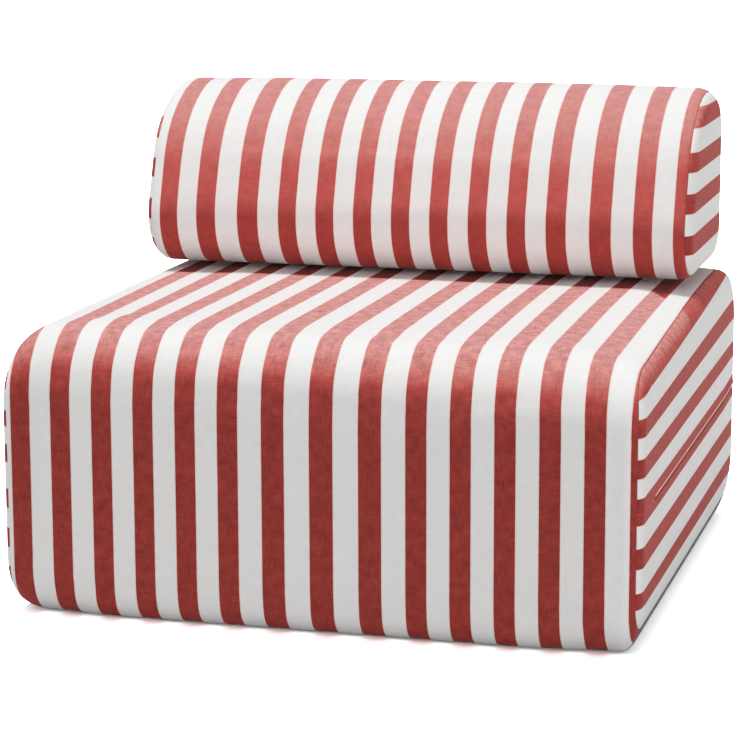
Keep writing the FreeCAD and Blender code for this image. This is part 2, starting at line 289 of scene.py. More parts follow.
def canvasMaterial(name, look):
    # Plain-weave canvas: slubby yarns both ways, over-and-under relief, soft pile at a glancing angle
    finish, nodes, links = newMaterial(name)
    shader = nodes["Principled BSDF"]
    cloth = nodes.new("ShaderNodeUVMap")
    cloth.uv_map = "weave"
    thin, long = weaveLook["slub"]
    across = stretchedNoise(nodes, links, cloth.outputs[0], (thin, long, 1.0))
    along = stretchedNoise(nodes, links, cloth.outputs[0], (long, thin, 1.0))
    patch = stretchedNoise(nodes, links, cloth.outputs[0], (weaveLook["patch"], weaveLook["patch"], 1.0), 3.0)
    yarns = mathNode(nodes, links, "ADD", across, along)
    share = ranged(nodes, links, mathNode(nodes, links, "ADD", yarns, patch), weaveLook["spread"])
    colour = mixedColour(nodes, links, share, look)
    links.new(paintLightAndShadow(nodes, links, colour, look), shader.inputs["Base Color"])
    split = nodes.new("ShaderNodeSeparateXYZ")
    links.new(cloth.outputs[0], split.inputs[0])
    pitch = math.pi / weaveLook["yarn"]
    warp = mathNode(nodes, links, "SINE", mathNode(nodes, links, "MULTIPLY", split.outputs[0], pitch), 0.0)
    weft = mathNode(nodes, links, "SINE", mathNode(nodes, links, "MULTIPLY", split.outputs[1], pitch), 0.0)
    relief = mathNode(nodes, links, "MULTIPLY", warp, weft)
    relief = mathNode(nodes, links, "MULTIPLY", relief, weaveLook["relief"])
    relief = mathNode(nodes, links, "ADD", relief, yarns)
    normal = reliefNormal(nodes, links, relief, weaveLook["bump"], weaveLook["bumpDepth"])
    links.new(normal, shader.inputs["Normal"])
    rough = ranged(nodes, links, yarns, weaveLook["slubRange"], weaveLook["rough"])
    links.new(rough, shader.inputs["Roughness"])
    shader.inputs["Specular IOR Level"].default_value = weaveLook["gloss"]
    shader.inputs["Sheen Weight"].default_value = look["sheen"]
    shader.inputs["Sheen Roughness"].default_value = weaveLook["sheenRoughness"]
    shader.inputs["Sheen Tint"].default_value = (*look["tint"], 1.0)
    return finish


canvas = {key: canvasMaterial(name, canvasLook[key]) for key, name in canvasNames.items()}


def smoothStep(value):
    value = np.clip(value, 0.0, 1.0)
    return value * value * (3 - 2 * value)


def fadeIn(value, start, run):
    return smoothStep((value - start) / run)


def between(pair, share):
    return pair[0] + (pair[1] - pair[0]) * share


# Side outlines as complex numbers: y along the real axis, z along the other, walked front, back, top, front
def lineEdge(start, end, inset):
    along = (end - start) / abs(end - start)
    return {"start": start + 1j * along * inset, "along": along}


def crownEdge(centre, radius, inset):
    return {"centre": centre, "radius": radius - inset}


def dot(a, b):
    return (a * b.conjugate()).real


def cornerCentre(before, after, radius):
    if "along" in before and "along" in after:
        base = before["start"] + 1j * before["along"] * radius
        normal = 1j * after["along"]
        step = (radius - dot(base - after["start"], normal)) / dot(before["along"], normal)
        return base + before["along"] * step
    straight, crown, side = (before, after, 1) if "along" in before else (after, before, -1)
    base = straight["start"] + 1j * straight["along"] * radius
    gap = base - crown["centre"]
    half = dot(gap, straight["along"])
    span = math.sqrt(half * half - abs(gap) ** 2 + (crown["radius"] - radius) ** 2)
    return base + straight["along"] * (side * span - half)


def touchPoint(edge, centre, radius):
    if "along" in edge:
        return centre - 1j * edge["along"] * radius
    away = centre - edge["centre"]
    return edge["centre"] + away / abs(away) * edge["radius"]


def arcPoints(start, end, centre, parts):
    first = np.angle(start - centre)
    turn = (np.angle(end - centre) - first) % (2 * math.pi)
    return centre + abs(start - centre) * np.exp(1j * (first + turn * np.asarray(parts)))


def closedOutline(edges, radii, rows):
    # rows holds the parts of each edge and corner at which the outline has a point
    points = []
    count = len(edges)
    centres = [cornerCentre(edges[k], edges[(k + 1) % count], radii[k]) for k in range(count)]
    for k, edge in enumerate(edges):
        start = touchPoint(edge, centres[k - 1], radii[k - 1])
        end = touchPoint(edge, centres[k], radii[k])
        turned = touchPoint(edges[(k + 1) % count], centres[k], radii[k])
        if "along" not in edge:
            points.append(arcPoints(start, end, edge["centre"], rows["edges"][k]))
        elif k == 1:
            low, lips, high = rows["zip"]
            foot = start + (complex(start.real, lips[0]) - start) * low
            head = complex(end.real, lips[-1]) + (end - complex(end.real, lips[-1])) * high
            points.append(np.concatenate([foot, start.real + 1j * lips, head]))
        else:
            points.append(start + (end - start) * rows["edges"][k])
        points.append(arcPoints(end, turned, centres[k], rows["corners"][k]))
    return np.concatenate(points)


def evenParts(count):
    return np.arange(count) / count


seamRows = np.array([0.8, 1.7, 3.0])  # rows beside a seam, in mm from it
footSeam = {"back": 0.22, "front": 0.78, "radius": 48.0}  # ends of the base cloth, as parts of a corner


def seamParts(count, seam):
    # Even parts of a foot corner with closer ones beside the seam in it
    near = seamRows / (footSeam["radius"] * math.pi / 2)
    parts = np.concatenate([evenParts(count), [seam], seam - near, seam + near])
    return np.unique(np.round(parts, 4))


lipRows = np.array([-14, -9, -6.5, -4.5, -3, -2.2, -1.5, 1.5, 2.2, 3, 4.5, 6.5, 9, 14])
zipLips = {"reach": 14.0, "edge": 1.5, "painted": (1.4, 4.6)}
cadStart = 1.5  # covers start this far inside the CAD skin and swell out to it
leastRadius = 9.0

seatShape = {
    "half": 427.0, "centre": 0.0, "seams": (-416.5, 419.0),
    "front": -415.0, "back": 415.0, "height": 386.5, "zip": 201.0, "hem": 31.0,
    "rims": ((44.0, 26.0, 72.0, 26.0), (32.0, 26.0, 24.0, 26.0)), "footRise": (1.0, 2.5), "ease": 0.6,
    "top": (72.0, 76.0), "topEase": (-100.0, 300.0), "foot": (40.0, 56.0), "footEase": (270.0, 140.0),
    "crown": 12850.0, "crownEase": (-50.0, 250.0), "flattest": 0.01,
    "shoulder": {"from": 318.0, "to": 411.0, "most": 1.15, "drop": 9.0, "crest": 285.0, "turn": (423.2, 2.3)},
    "stripeFront": -389.0, "stripeBack": 389.0, "gridY": (-376, 376, 49), "spacing": 15.0,
    "grip": {"seam": 9.0, "zip": 11.0, "side": 415.0, "behind": 405.0, "front": -350.0, "below": 6.0},
}
seatShape["rows"] = {
    "edges": [evenParts(40), None, evenParts(44), evenParts(18)],
    "corners": [seamParts(8, footSeam["back"]), evenParts(10), evenParts(14), seamParts(8, footSeam["front"])],
    "zip": (evenParts(9), seatShape["zip"] + lipRows, evenParts(7)[1:]),
}
seatShape["gridZ"] = [
    seatShape["hem"], *(seatShape["zip"] + lipRows), *np.linspace(70, 180, 9), *np.linspace(222, 330, 8),
]


def rimInsets(shape, across, extra):
    # How far each edge has moved in at a place across the cushion, over the rounded ends
    depth = cadStart + extra
    place = abs(across - shape["centre"])
    side = 1 if across > shape["centre"] else 0
    insets = []
    for edge, radius in enumerate(shape["rims"][side]):
        past = max(place - (shape["half"] - radius), 0.0)
        rise = radius * (shape["footRise"][side] if edge == 0 and "footRise" in shape else 1.0)
        insets.append(rise - (rise - depth) * math.sqrt(max(1 - (past / (radius - depth)) ** 2, 0.0)))
    return insets


def cornerRadii(radii, insets, ease):
    return [max(radii[k] - ease * (insets[k] + insets[(k + 1) % 4]) / 2, leastRadius) for k in range(4)]


def seatOutline(across, extra=0.0):
    s = seatShape
    insets = rimInsets(s, across, extra)
    foot, behind, top, ahead = insets
    front, back, height = s["front"], s["back"], s["height"]
    edge = s["shoulder"]
    slope = min(max((across - edge["from"]) / (edge["to"] - edge["from"]), 0.0), edge["most"]) ** 2
    crest = edge["crest"] * slope  # the right shoulder falls towards the front
    crown = s["crown"] / max(float(fadeIn(across, *s["crownEase"])), s["flattest"])
    level = height - edge["drop"] * slope + crest * crest / (2 * crown)
    edges = [
        lineEdge(complex(front, 0), complex(back, 0), foot),
        lineEdge(complex(back, 0), complex(back, height), behind),
        crownEdge(complex(crest, level - crown), crown, top),
        lineEdge(complex(front, height), complex(front, 0), ahead),
    ]
    topRadius = between(s["top"], float(fadeIn(across, *s["topEase"])))
    footRadius = between(s["foot"], float(fadeIn(abs(across), *s["footEase"])))
    radii = [footRadius, topRadius, topRadius, footRadius]
    return closedOutline(edges, cornerRadii(radii, insets, s["ease"]), s["rows"])


bolsterShape = {
    "half": 404.6, "centre": -0.2, "seams": (-394.5, 393.5),
    "base": 390.3, "heel": 60.4, "lean": 19.3, "rise": 260.0, "back": 397.0,
    "crownCentre": (284.0, 454.3), "crown": 199.0, "corners": (60.0, 65.0, 140.0, 74.0), "ease": 1.0,
    "rims": ((26.0, 26.0, 18.0, 22.0), (26.0, 26.0, 26.0, 26.0)), "zip": 485.3, "zipHalf": 360.0,
    "stripeFront": 90.0, "stripeBack": 371.0, "gridY": (105, 360, 20), "gridZ": np.linspace(420, 630, 18),
    "spacing": 14.0,
    "grip": {"seam": 8.0, "zip": 13.0, "behind": 388.0, "below": 395.3},
}
bolsterShape["rows"] = {
    "edges": [evenParts(16), None, evenParts(12), evenParts(8)],
    "corners": [evenParts(10), evenParts(10), evenParts(16), evenParts(12)],
    "zip": (evenParts(5), bolsterShape["zip"] + lipRows, evenParts(6)[1:]),
}


def bolsterOutline(across, extra=0.0):
    s = bolsterShape
    insets = rimInsets(s, across, extra)
    foot, behind, top, ahead = insets
    heel = complex(s["heel"], s["base"])
    rise = complex(math.tan(math.radians(s["lean"])), 1) * s["rise"]
    edges = [
        lineEdge(heel, complex(s["back"], s["base"]), foot),
        lineEdge(complex(s["back"], s["base"]), complex(s["back"], s["base"] + s["rise"]), behind),
        crownEdge(complex(*s["crownCentre"]), s["crown"], top),
        lineEdge(heel + rise, heel, ahead),
    ]
    return closedOutline(edges, cornerRadii(s["corners"], insets, s["ease"]), s["rows"])


# How the right seam runs in: by column, then by place from front to back
seamDraw = {
    "strip": ((375.0, 409.9, 423.2, 425.5), (0.0, 1.0, 1.0, 0.0)),
    "seam": ((411.2, 419.0, 423.2, 425.5), (0.0, 1.0, 1.0, 0.0)),
    "inward": ((-330, -190, -60, 70, 250), (0.0, 1.5, 2.7, 5.4, 8.0)),
    "seamIn": 6.8, "raised": (300.0, 70.0), "reach": 20.0, "steps": 6,
}


def seatRing(column):
    # Places across and round the seat for one column; on top the right seam runs in, more towards the back
    points = seatOutline(column)
    strip = np.interp(column, *seamDraw["strip"])
    seam = np.interp(column, *seamDraw["seam"])
    if strip == 0:
        return np.full(len(points), column), points
    raised = fadeIn(points.imag, *seamDraw["raised"])
    inward = np.interp(points.real, *seamDraw["inward"]) * raised
    shift = inward * strip + seamDraw["seamIn"] * raised * seam
    steps = np.linspace(0, seamDraw["reach"], seamDraw["steps"])
    stack = np.array([seatOutline(column - step) for step in steps])
    low = np.minimum((shift / steps[1]).astype(int), len(steps) - 2)
    part = shift / steps[1] - low
    rows = np.arange(len(points))
    return column - shift, stack[low, rows] * (1 - part) + stack[low + 1, rows] * part


# Stripes, as the edges between them in mm: the first colour lies before the first edge
seatStripes = {
    "first": "white",
    "edges": [-380.9 + 28.52 * k + 1.4 * (k % 2) + 20.7 * float(smoothStep((k - 9.5) / 8)) for k in range(-1, 28)],
}
bolsterStripes = {
    "first": "white",
    "edges": [-379.2 + 28.2 * k - 1.5 * (k % 2) + 12.2 * float(smoothStep((k - 2) / 4))
              + 11.5 * float(smoothStep((k - 20) / 4)) for k in range(27)],
}
# On the sides each edge is its height at the front and at the back
rightStripes = {
    "first": "red",
    "edges": [(31, 31), (64.5, 65.6), (86.3, 90.9), (117.2, 120.8), (143.7, 146.1), (186, 186), (220, 218.5),
              (239.1, 244), (257.2, 265.4), (284, 300), (306.8, 331), (337.5, 374.5)],
    "nose": {"from": -350.0, "drop": 0.2},
}
leftStripes = {
    "first": "white",
    "edges": [(z, z) for z in (43, 65, 91, 117, 144, 170, 207, 230, 254, 275, 304, 325)],
}
rightEndStripes = {"first": "white", "edges": [(z, z) for z in (434, 462, 492, 519, 548, 574.5, 606, 632.5)]}
leftEndStripes = {"first": "white", "edges": [(z, z) for z in (416, 431, 461, 491, 521, 548, 576, 605)]}
edgeLine = 1.3  # width of the paler yarn beside each edge, on the white side


def stripeColour(stripes, place, along=0.0, dip=0.0):
    # along goes from 0 at the front to 1 at the back, and the last edge is lower by dip
    edges = [e if isinstance(e, float) else e[0] + (e[1] - e[0]) * along for e in stripes["edges"]]
    edges[-1] -= dip
    index = sum(place > edge for edge in edges)
    isRed = (index % 2 == 0) == (stripes["first"] == "red")
    if isRed:
        return "red"
    near = [abs(place - edge) for edge in edges]
    return "line" if min(near) < edgeLine else "white"


columnGap = 1.1
columnTurn = 9  # degrees between the columns round a rim
seamColumns = (-4.2, -2.6, -1.5, -0.7, 0, 0.7, 1.5, 2.6, 4.2)


def stripeCuts(stripes):
    # Each edge with the offset to the far side of its paler yarn
    redNow = stripes["first"] == "red"
    for edge in stripes["edges"]:
        yield edge, edgeLine if redNow else -edgeLine
        redNow = not redNow


def mergedColumns(fixed, loose, spacing):
    # Fixed places, loose ones that are not too near them, and more so that no gap is wide
    columns = sorted(set(round(x, 3) for x in fixed))
    for x in loose:
        if min(abs(x - c) for c in columns) > columnGap:
            columns.append(round(x, 3))
    columns.sort()
    filled = []
    for a, b in zip(columns, columns[1:]):
        count = max(1, math.ceil((b - a) / spacing))
        filled += [a + (b - a) * k / count for k in range(count)]
    return filled + [columns[-1]]


def coverColumns(shape, stripes):
    reach = shape["half"] - cadStart
    low, high = shape["centre"] - reach, shape["centre"] + reach
    fixed = [low, high] + [seam + offset for seam in shape["seams"] for offset in seamColumns]
    for edge, yarn in stripeCuts(stripes):
        fixed += [edge, edge + yarn]
    if "shoulder" in shape:
        start, width = shape["shoulder"]["turn"]
        fixed += [start + width * math.sin(math.radians(turn)) for turn in range(columnTurn, 90, columnTurn)]
    fixed = [x for x in fixed if low <= x <= high]
    loose = []
    for side, rims in zip((-1, 1), shape["rims"]):
        for radius in sorted(set(rims)):
            for turn in range(0, 90, columnTurn):
                offset = shape["half"] - radius + (radius - cadStart) * math.sin(math.radians(turn))
                loose.append(shape["centre"] + side * offset)
    return mergedColumns(fixed, loose, shape["spacing"])


def runLengths(outline):
    # Distance round the middle outline at each of its points, and all the way round
    middle = outline(0.0)
    lengths = np.concatenate([[0.0], np.cumsum(np.abs(np.diff(middle)))])
    return lengths, lengths[-1] + abs(middle[0] - middle[-1])


def closedCushion(outline, columns, ringAt=None):
    # Grid of outlines across the cushion, with a flat end at each side
    bm = bmesh.new()
    run = bm.verts.layers.float.new("run")
    home = bm.verts.layers.float.new("home")
    rings = []
    lengths, _ = runLengths(outline)
    for x in columns:
        across, points = ringAt(x) if ringAt else (np.full(len(lengths), x), outline(x))
        ring = []
        for placeX, place, length in zip(across, points, lengths):
            vert = bm.verts.new((placeX, place.real, place.imag))
            vert[run] = length
            vert[home] = x
            ring.append(vert)
        rings.append(ring)
    count = len(lengths)
    for left, right in zip(rings, rings[1:]):
        for k in range(count):
            bm.faces.new((left[k], right[k], right[(k + 1) % count], left[(k + 1) % count]))
    bm.faces.new(rings[0])
    bm.faces.new(list(reversed(rings[-1])))
    bmesh.ops.recalc_face_normals(bm, faces=bm.faces[:])
    if bm.calc_volume(signed=True) < 0:
        bmesh.ops.reverse_faces(bm, faces=bm.faces[:])
    return bm


def faceHome(bm, face):
    # Column that a face was laid out at, before its seam was drawn in
    home = bm.verts.layers.float["home"]
    return sum(v[home] for v in face.verts) / len(face.verts)


cutting = {"merge": 0.02, "flatEnd": 0.999}


def cutFaces(bm, pick, point, normal):
    faces = [f for f in bm.faces if pick(f)]
    verts = {v for f in faces for v in f.verts}
    edges = {e for f in faces for e in f.edges}
    geom = list(verts) + list(edges) + faces
    bmesh.ops.bisect_plane(bm, geom=geom, dist=cutting["merge"], plane_co=point, plane_no=normal)


def cutEnd(bm, shape, side, stripes):
    # Cuts one end into a grid along its stripes, lips and some even lines
    seam = shape["seams"][1 if side > 0 else 0]
    front, back = shape["stripeFront"], shape["stripeBack"]

    def inEnd(face):
        return (faceHome(bm, face) - seam) * side > 0

    def inCap(face):
        return inEnd(face) and abs(face.normal.x) > cutting["flatEnd"]

    nose = stripes.get("nose")
    if nose:
        cutFaces(bm, inEnd, (0, nose["from"], 0), (0, 1, 0))
    for (low, high), yarn in stripeCuts(stripes):
        slope = (high - low) / (back - front)
        for offset in (0, yarn):
            if nose and (low, high) == stripes["edges"][-1]:
                # The top stripe dips round the front corner
                middle = (0, nose["from"], low + offset + slope * (nose["from"] - front))
                for ahead, lean in ((True, slope + nose["drop"]), (False, slope)):
                    cutFaces(bm, lambda f: inEnd(f) and (f.calc_center_median().y < nose["from"]) == ahead,
                             middle, Vector((0, -lean, 1)).normalized())
            else:
                cutFaces(bm, inEnd, (0, front, low + offset), Vector((0, -slope, 1)).normalized())
    for z in shape["gridZ"]:
        cutFaces(bm, inEnd, (0, 0, z), (0, 0, 1))
    for y in np.linspace(*shape["gridY"]):
        cutFaces(bm, inCap, (0, y, 0), (0, 1, 0))


swelling = {
    "seat": {"voxel": 10 * mm, "pressure": 3.0, "frames": 14, "cap": 2.6},
    "bolster": {"voxel": 8 * mm, "pressure": 3.0, "frames": 14, "cap": 3.0},
}
clothFeel = {"quality": 5, "mass": 0.3, "stretch": 40, "shear": 20, "bend": 2}


def swell(name, bm, held):
    # Blows up a remeshed copy of the cushion as stretched canvas and returns how each of its points moved, in mm
    setting = swelling[name]
    mesh = bpy.data.meshes.new(name + "Blank")
    bm.to_mesh(mesh)
    mesh.transform(toMetres)
    blank = link(bpy.data.objects.new(name + "Blank", mesh))
    remesh = blank.modifiers.new("even", "REMESH")
    remesh.mode = "VOXEL"
    remesh.voxel_size = setting["voxel"]
    depsgraph = bpy.context.evaluated_depsgraph_get()
    even = bpy.data.meshes.new_from_object(blank.evaluated_get(depsgraph))
    pad = link(bpy.data.objects.new(name + "Pad", even))
    start = np.array([v.co for v in even.vertices]) / mm
    pins = pad.vertex_groups.new(name="sewn")
    for index, weight in enumerate(held(start)):
        if weight > 0.01:
            pins.add([index], float(weight), "REPLACE")
    cloth = pad.modifiers.new("canvas", "CLOTH")
    settings = cloth.settings
    settings.quality = clothFeel["quality"]
    settings.mass = clothFeel["mass"]
    settings.tension_stiffness = clothFeel["stretch"]
    settings.compression_stiffness = clothFeel["stretch"]
    settings.shear_stiffness = clothFeel["shear"]
    settings.bending_stiffness = clothFeel["bend"]
    settings.vertex_group_mass = "sewn"
    settings.use_pressure = True
    settings.uniform_pressure_force = setting["pressure"]
    settings.effector_weights.gravity = 0
    cloth.collision_settings.use_collision = False
    for step in range(1, setting["frames"] + 1):
        scene.frame_set(step)
    depsgraph = bpy.context.evaluated_depsgraph_get()
    moved = pad.evaluated_get(depsgraph).to_mesh()
    end = np.array([v.co for v in moved.vertices]) / mm
    shift = end - start
    outward = np.array([v.normal for v in even.vertices])
    shift -= outward * np.minimum((shift * outward).sum(axis=1), 0)[:, None]  # foam stops it sinking in
    length = np.linalg.norm(shift, axis=1, keepdims=True) + 1e-6
    shift *= setting["cap"] * np.tanh(length / setting["cap"]) / length
    largest, mean = float(length.max()), float(length.mean())
    print(name, "swelled, largest move", round(largest, 1), "mm before the cap, mean", round(mean, 2))
    scene.frame_set(1)
    for piece in (blank, pad):
        used = piece.data
        bpy.data.objects.remove(piece)
        bpy.data.meshes.remove(used)
    return start, shift


carrying = {"points": 6, "soften": 2.0}


def carried(places, start, shift):
    # Movement at other places, from the nearest points of the swollen copy
    tree = KDTree(len(start))
    for index, place in enumerate(start):
        tree.insert(place, index)
    tree.balance()
    moves = np.zeros((len(places), 3))
    for index, place in enumerate(places):
        total = 0.0
        for _, near, distance in tree.find_n(place, carrying["points"]):
            weight = 1.0 / (distance + carrying["soften"]) ** 2
            moves[index] += shift[near] * weight
            total += weight
        moves[index] /= total
    return moves


lipShape = {
    "away": (0.0, 0.7, 1.5, 3.0, 5.0, 7.5, 12.5),
    "upper": (0.5, 1.0, 1.1, 0.8, 0.4, 0.1, 0.0),
    "lower": (-1.7, -1.4, -1.0, -0.6, -0.2, 0.0, 0.0),
}
creaseShape = {"away": (0.0, 0.7, 1.5, 2.6, 4.2, 6.0), "deep": (0.9, 0.5, 0.25, 0.08, 0.0, 0.0)}


seatDrape = {
    "onTop": (350.0, 25.0), "behindFront": (-350.0, 420.0),
    "drift": ((-420, -385, -340, -290, -240, -100, 0, 60, 120, 300, 370, 420),
              (0, -3, -4.5, -4.5, 1, 4.2, 3.2, 1.5, -1, -3.9, -4.8, 0)),
    "onRight": (404.0, 12.0), "sag": ((-300, 300, 415), (13.0, 9.0, 3.0)), "sagReach": 60.0, "sagSoft": 44.0,
    "restBelow": 60.0,
}


def pulledIn(rest):
    # The canvas draws in towards the bolster on top, sags along the right zip and rests on the floor
    d = seatDrape
    x, y, z = rest.T
    onTop = fadeIn(z, *d["onTop"]) * fadeIn(y, *d["behindFront"])
    nearZip = smoothStep((d["sagReach"] - np.abs(z - seatShape["zip"])) / d["sagSoft"])
    sag = np.interp(y, *d["sag"]) * nearZip
    moves = np.zeros_like(rest)
    moves[:, 0] = np.interp(x, *d["drift"]) * onTop
    moves[:, 2] = -sag * fadeIn(x, *d["onRight"]) - cadStart * (1 - smoothStep(z / d["restBelow"]))
    return moves


def dressCushion(bm, shape, zipOpen, moves):
    # Moves the points: swelling, the sewn creases, then the zip's slit and lips
    bm.normal_update()
    rest = np.array([v.co for v in bm.verts])
    normals = np.array([v.normal for v in bm.verts])
    home = bm.verts.layers.float["home"]
    columns = np.array([v[home] for v in bm.verts])
    places = rest + moves
    for seam in shape["seams"]:
        crease = np.interp(np.abs(columns - seam), creaseShape["away"], creaseShape["deep"])
        places -= normals * crease[:, None]
    if "shoulder" in shape:
        places += pulledIn(rest)
    reach, edge = zipLips["reach"], zipLips["edge"]
    height = rest[:, 2] - shape["zip"]
    away = np.abs(height)
    near = away <= reach + 0.01
    opened = zipOpen(rest) * near
    onZip = near & zipOpen(rest, True)
    gap = edge * opened
    shifted = gap + np.maximum(away - edge, 0) * (reach - gap) / (reach - edge)
    places[:, 2] += np.where(onZip, np.sign(height) * (shifted - away), 0)
    upper = np.interp(shifted - gap, lipShape["away"], lipShape["upper"])
    lower = np.interp(shifted - gap, lipShape["away"], lipShape["lower"])
    places += normals * (np.where(height > 0, upper, lower) * opened)[:, None]
    for vert, place in zip(bm.verts, places):
        vert.co = place


def cutPanel(bm, name, faces, body, node, colours, thickness=1.0):
    # One sewn panel as a thin closed shell
    panel = bm.copy()
    panel.faces.ensure_lookup_table()
    keep = set(faces)
    bmesh.ops.delete(panel, geom=[f for f in panel.faces if f.index not in keep], context="FACES")
    mesh = bpy.data.meshes.new(name)
    panel.to_mesh(mesh)
    panel.free()
    mesh.transform(toMetres)
    for finish in colours:
        mesh.materials.append(finish)
    mesh.polygons.foreach_set("use_smooth", [True] * len(mesh.polygons))
    piece = link(bpy.data.objects.new(name, mesh))
    shell = piece.modifiers.new("clothThickness", "SOLIDIFY")
    shell.thickness = thickness * mm
    shell.offset = -1.0
    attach(piece, body)
    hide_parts(node)


plainLook = {
    name: {"colour": colour, "deep": deep, "grain": grain, "rough": rough, "bump": bump}
    for name, colour, deep, grain, rough, bump in (
        ("baseCloth", (0.055, 0.055, 0.058), (0.035, 0.035, 0.038), 900.0, 0.9, 0.3),
        ("firmFoam", (0.62, 0.62, 0.55), (0.48, 0.48, 0.42), 420.0, 0.95, 0.6),
        ("softFoam", (0.78, 0.70, 0.48), (0.62, 0.54, 0.36), 520.0, 0.95, 0.6),
        ("fibreWadding", (0.86, 0.86, 0.84), (0.72, 0.72, 0.70), 260.0, 1.0, 0.8),
        ("zipTapeCloth", (0.26, 0.035, 0.03), (0.17, 0.022, 0.02), 1500.0, 0.85, 0.3),
        ("zipCoilNylon", (0.22, 0.03, 0.026), (0.16, 0.02, 0.018), 1100.0, 0.45, 0.5),
        ("zipPaintedMetal", (0.25, 0.035, 0.03), (0.19, 0.026, 0.022), 700.0, 0.35, 0.08),
        ("loopTapePile", (0.74, 0.73, 0.70), (0.60, 0.59, 0.56), 1400.0, 1.0, 0.7),
        ("hookTapeNylon", (0.76, 0.75, 0.72), (0.62, 0.61, 0.58), 1200.0, 0.6, 0.6),
    )
}
plainGrain = {"patch": 14, "spread": (0.35, 0.62), "roughSpread": 0.06, "bumpDepth": 0.3 * mm}


def plainMaterial(name):
    # One-colour cloth, foam, nylon or paint with a fine grain in colour, roughness and relief
    look = plainLook[name]
    finish, nodes, links = newMaterial(name)
    shader = nodes["Principled BSDF"]
    place = nodes.new("ShaderNodeTexCoord").outputs["Object"]
    grain = stretchedNoise(nodes, links, place, (look["grain"],) * 3, 3.0)
    patch = stretchedNoise(nodes, links, place, (look["grain"] / plainGrain["patch"],) * 3)
    mixed = mathNode(nodes, links, "MULTIPLY", mathNode(nodes, links, "ADD", grain, patch), 0.5)
    share = ranged(nodes, links, mixed, plainGrain["spread"])
    links.new(mixedColour(nodes, links, share, look), shader.inputs["Base Color"])
    spread = plainGrain["roughSpread"]
    bounds = (min(look["rough"] + spread, 1.0), look["rough"] - spread)
    links.new(ranged(nodes, links, mixed, (0.0, 1.0), bounds), shader.inputs["Roughness"])
    normal = reliefNormal(nodes, links, grain, look["bump"], plainGrain["bumpDepth"])
    links.new(normal, shader.inputs["Normal"])
    return finish


plain = {name: plainMaterial(name) for name in plainLook}


def rowRuns(outline, rows):
    # Distance round the middle outline of the rows that the panels end at
    lengths, total = runLengths(outline)
    backFoot = len(rows["edges"][0])
    frontFoot = len(lengths) - len(rows["corners"][3])
    upperLip = backFoot + len(rows["corners"][0]) + len(rows["zip"][0]) + len(lipRows) // 2

    def rowNear(parts, seam):
        return int(np.argmin(np.abs(parts - seam)))

    return {
        "lowerLip": lengths[upperLip - 1], "upperLip": lengths[upperLip], "total": total,
        "backSeam": lengths[backFoot + rowNear(rows["corners"][0], footSeam["back"])],
        "frontSeam": lengths[frontFoot + rowNear(rows["corners"][3], footSeam["front"])],
    }


def faceRun(face, run, total):
    values = [v[run] for v in face.verts]
    if max(values) - min(values) > total / 2:
        values = [value + total if value < total / 2 else value for value in values]
    return sum(values) / len(values)


def layWeave(face, weave, run, total, level):
    # Cloth coordinates in metres: across the stripes, then along them
    values = [loop.vert[run] for loop in face.loops]
    wraps = max(values) - min(values) > total / 2
    for loop, value in zip(face.loops, values):
        place = loop.vert.co
        if level:
            loop[weave].uv = (place.z * mm, place.y * mm)
        else:
            loop[weave].uv = (place.x * mm, (value + total if wraps and value < total / 2 else value) * mm)


def sortFaces(bm, shape, runs, wrapPanel, endPanel, wrapStripes, zipOpen):
    # Gives each face its panel, its stripe and its cloth coordinates
    run = bm.verts.layers.float["run"]
    weave = bm.loops.layers.uv.new("weave")
    leftSeam, rightSeam = shape["seams"]
    front, back = shape["stripeFront"], shape["stripeBack"]
    paintLow, paintHigh = zipLips["painted"]
    panels = {}
    bm.faces.index_update()
    for face in bm.faces:
        centre = face.calc_center_median()
        column = faceHome(bm, face)
        atEnd = column < leftSeam or column > rightSeam
        if atEnd:
            name, stripes = endPanel("right" if column > rightSeam else "left", centre)
            nose = stripes.get("nose")
            dip = max(nose["from"] - centre.y, 0.0) * nose["drop"] if nose else 0.0
            along = (centre.y - front) / (back - front)
            along = min(along if dip else max(along, 0.0), 1.0)
            colour = stripeColour(stripes, centre.z, along, dip)
        else:
            name = wrapPanel(faceRun(face, run, runs["total"]), runs)
            colour = stripeColour(wrapStripes, column)
        layWeave(face, weave, run, runs["total"], atEnd)
        above = centre.z - shape["zip"]
        if paintLow < abs(above) < paintHigh and zipOpen(np.array([centre]))[0] > 0.5:
            colour = "lip" if above > 0 else "shade"  # painted highlight on the turned edge of the upper lip, and painted shade on the hem under it
        if atEnd and centre.z < shape.get("hem", 0.0):
            colour = "under"  # base cloth turned up at the foot, painted darker than the base cloth as shade of the floor contact
        face.material_index = canvasOrder.index(colour)
        panels.setdefault(name, []).append(face.index)
    return panels


zipOpening = {
    "seat": {"behind": 300.0, "right": -322.0, "left": -346.0, "soft": 16.0, "slack": 0.01},
    "bolster": {"behind": 388.0, "soft": 12.0},
}


def onSeatZip(places, wholeLine=False):
    # How far the lips are open at each place, or whether the place is on the zip's side at all
    setting = zipOpening["seat"]
    left, right = seatShape["seams"]
    x, y = places[:, 0], places[:, 1]
    line = (x <= left + setting["slack"]) | (x >= right - setting["slack"]) | (y > setting["behind"])
    front = np.where(x > 0, setting["right"], setting["left"])
    return line if wholeLine else line * fadeIn(y, front, setting["soft"])


def onBolsterZip(places, wholeLine=False):
    setting = zipOpening["bolster"]
    line = places[:, 1] > setting["behind"]
    return line if wholeLine else line * smoothStep((bolsterShape["zipHalf"] - np.abs(places[:, 0])) / setting["soft"])


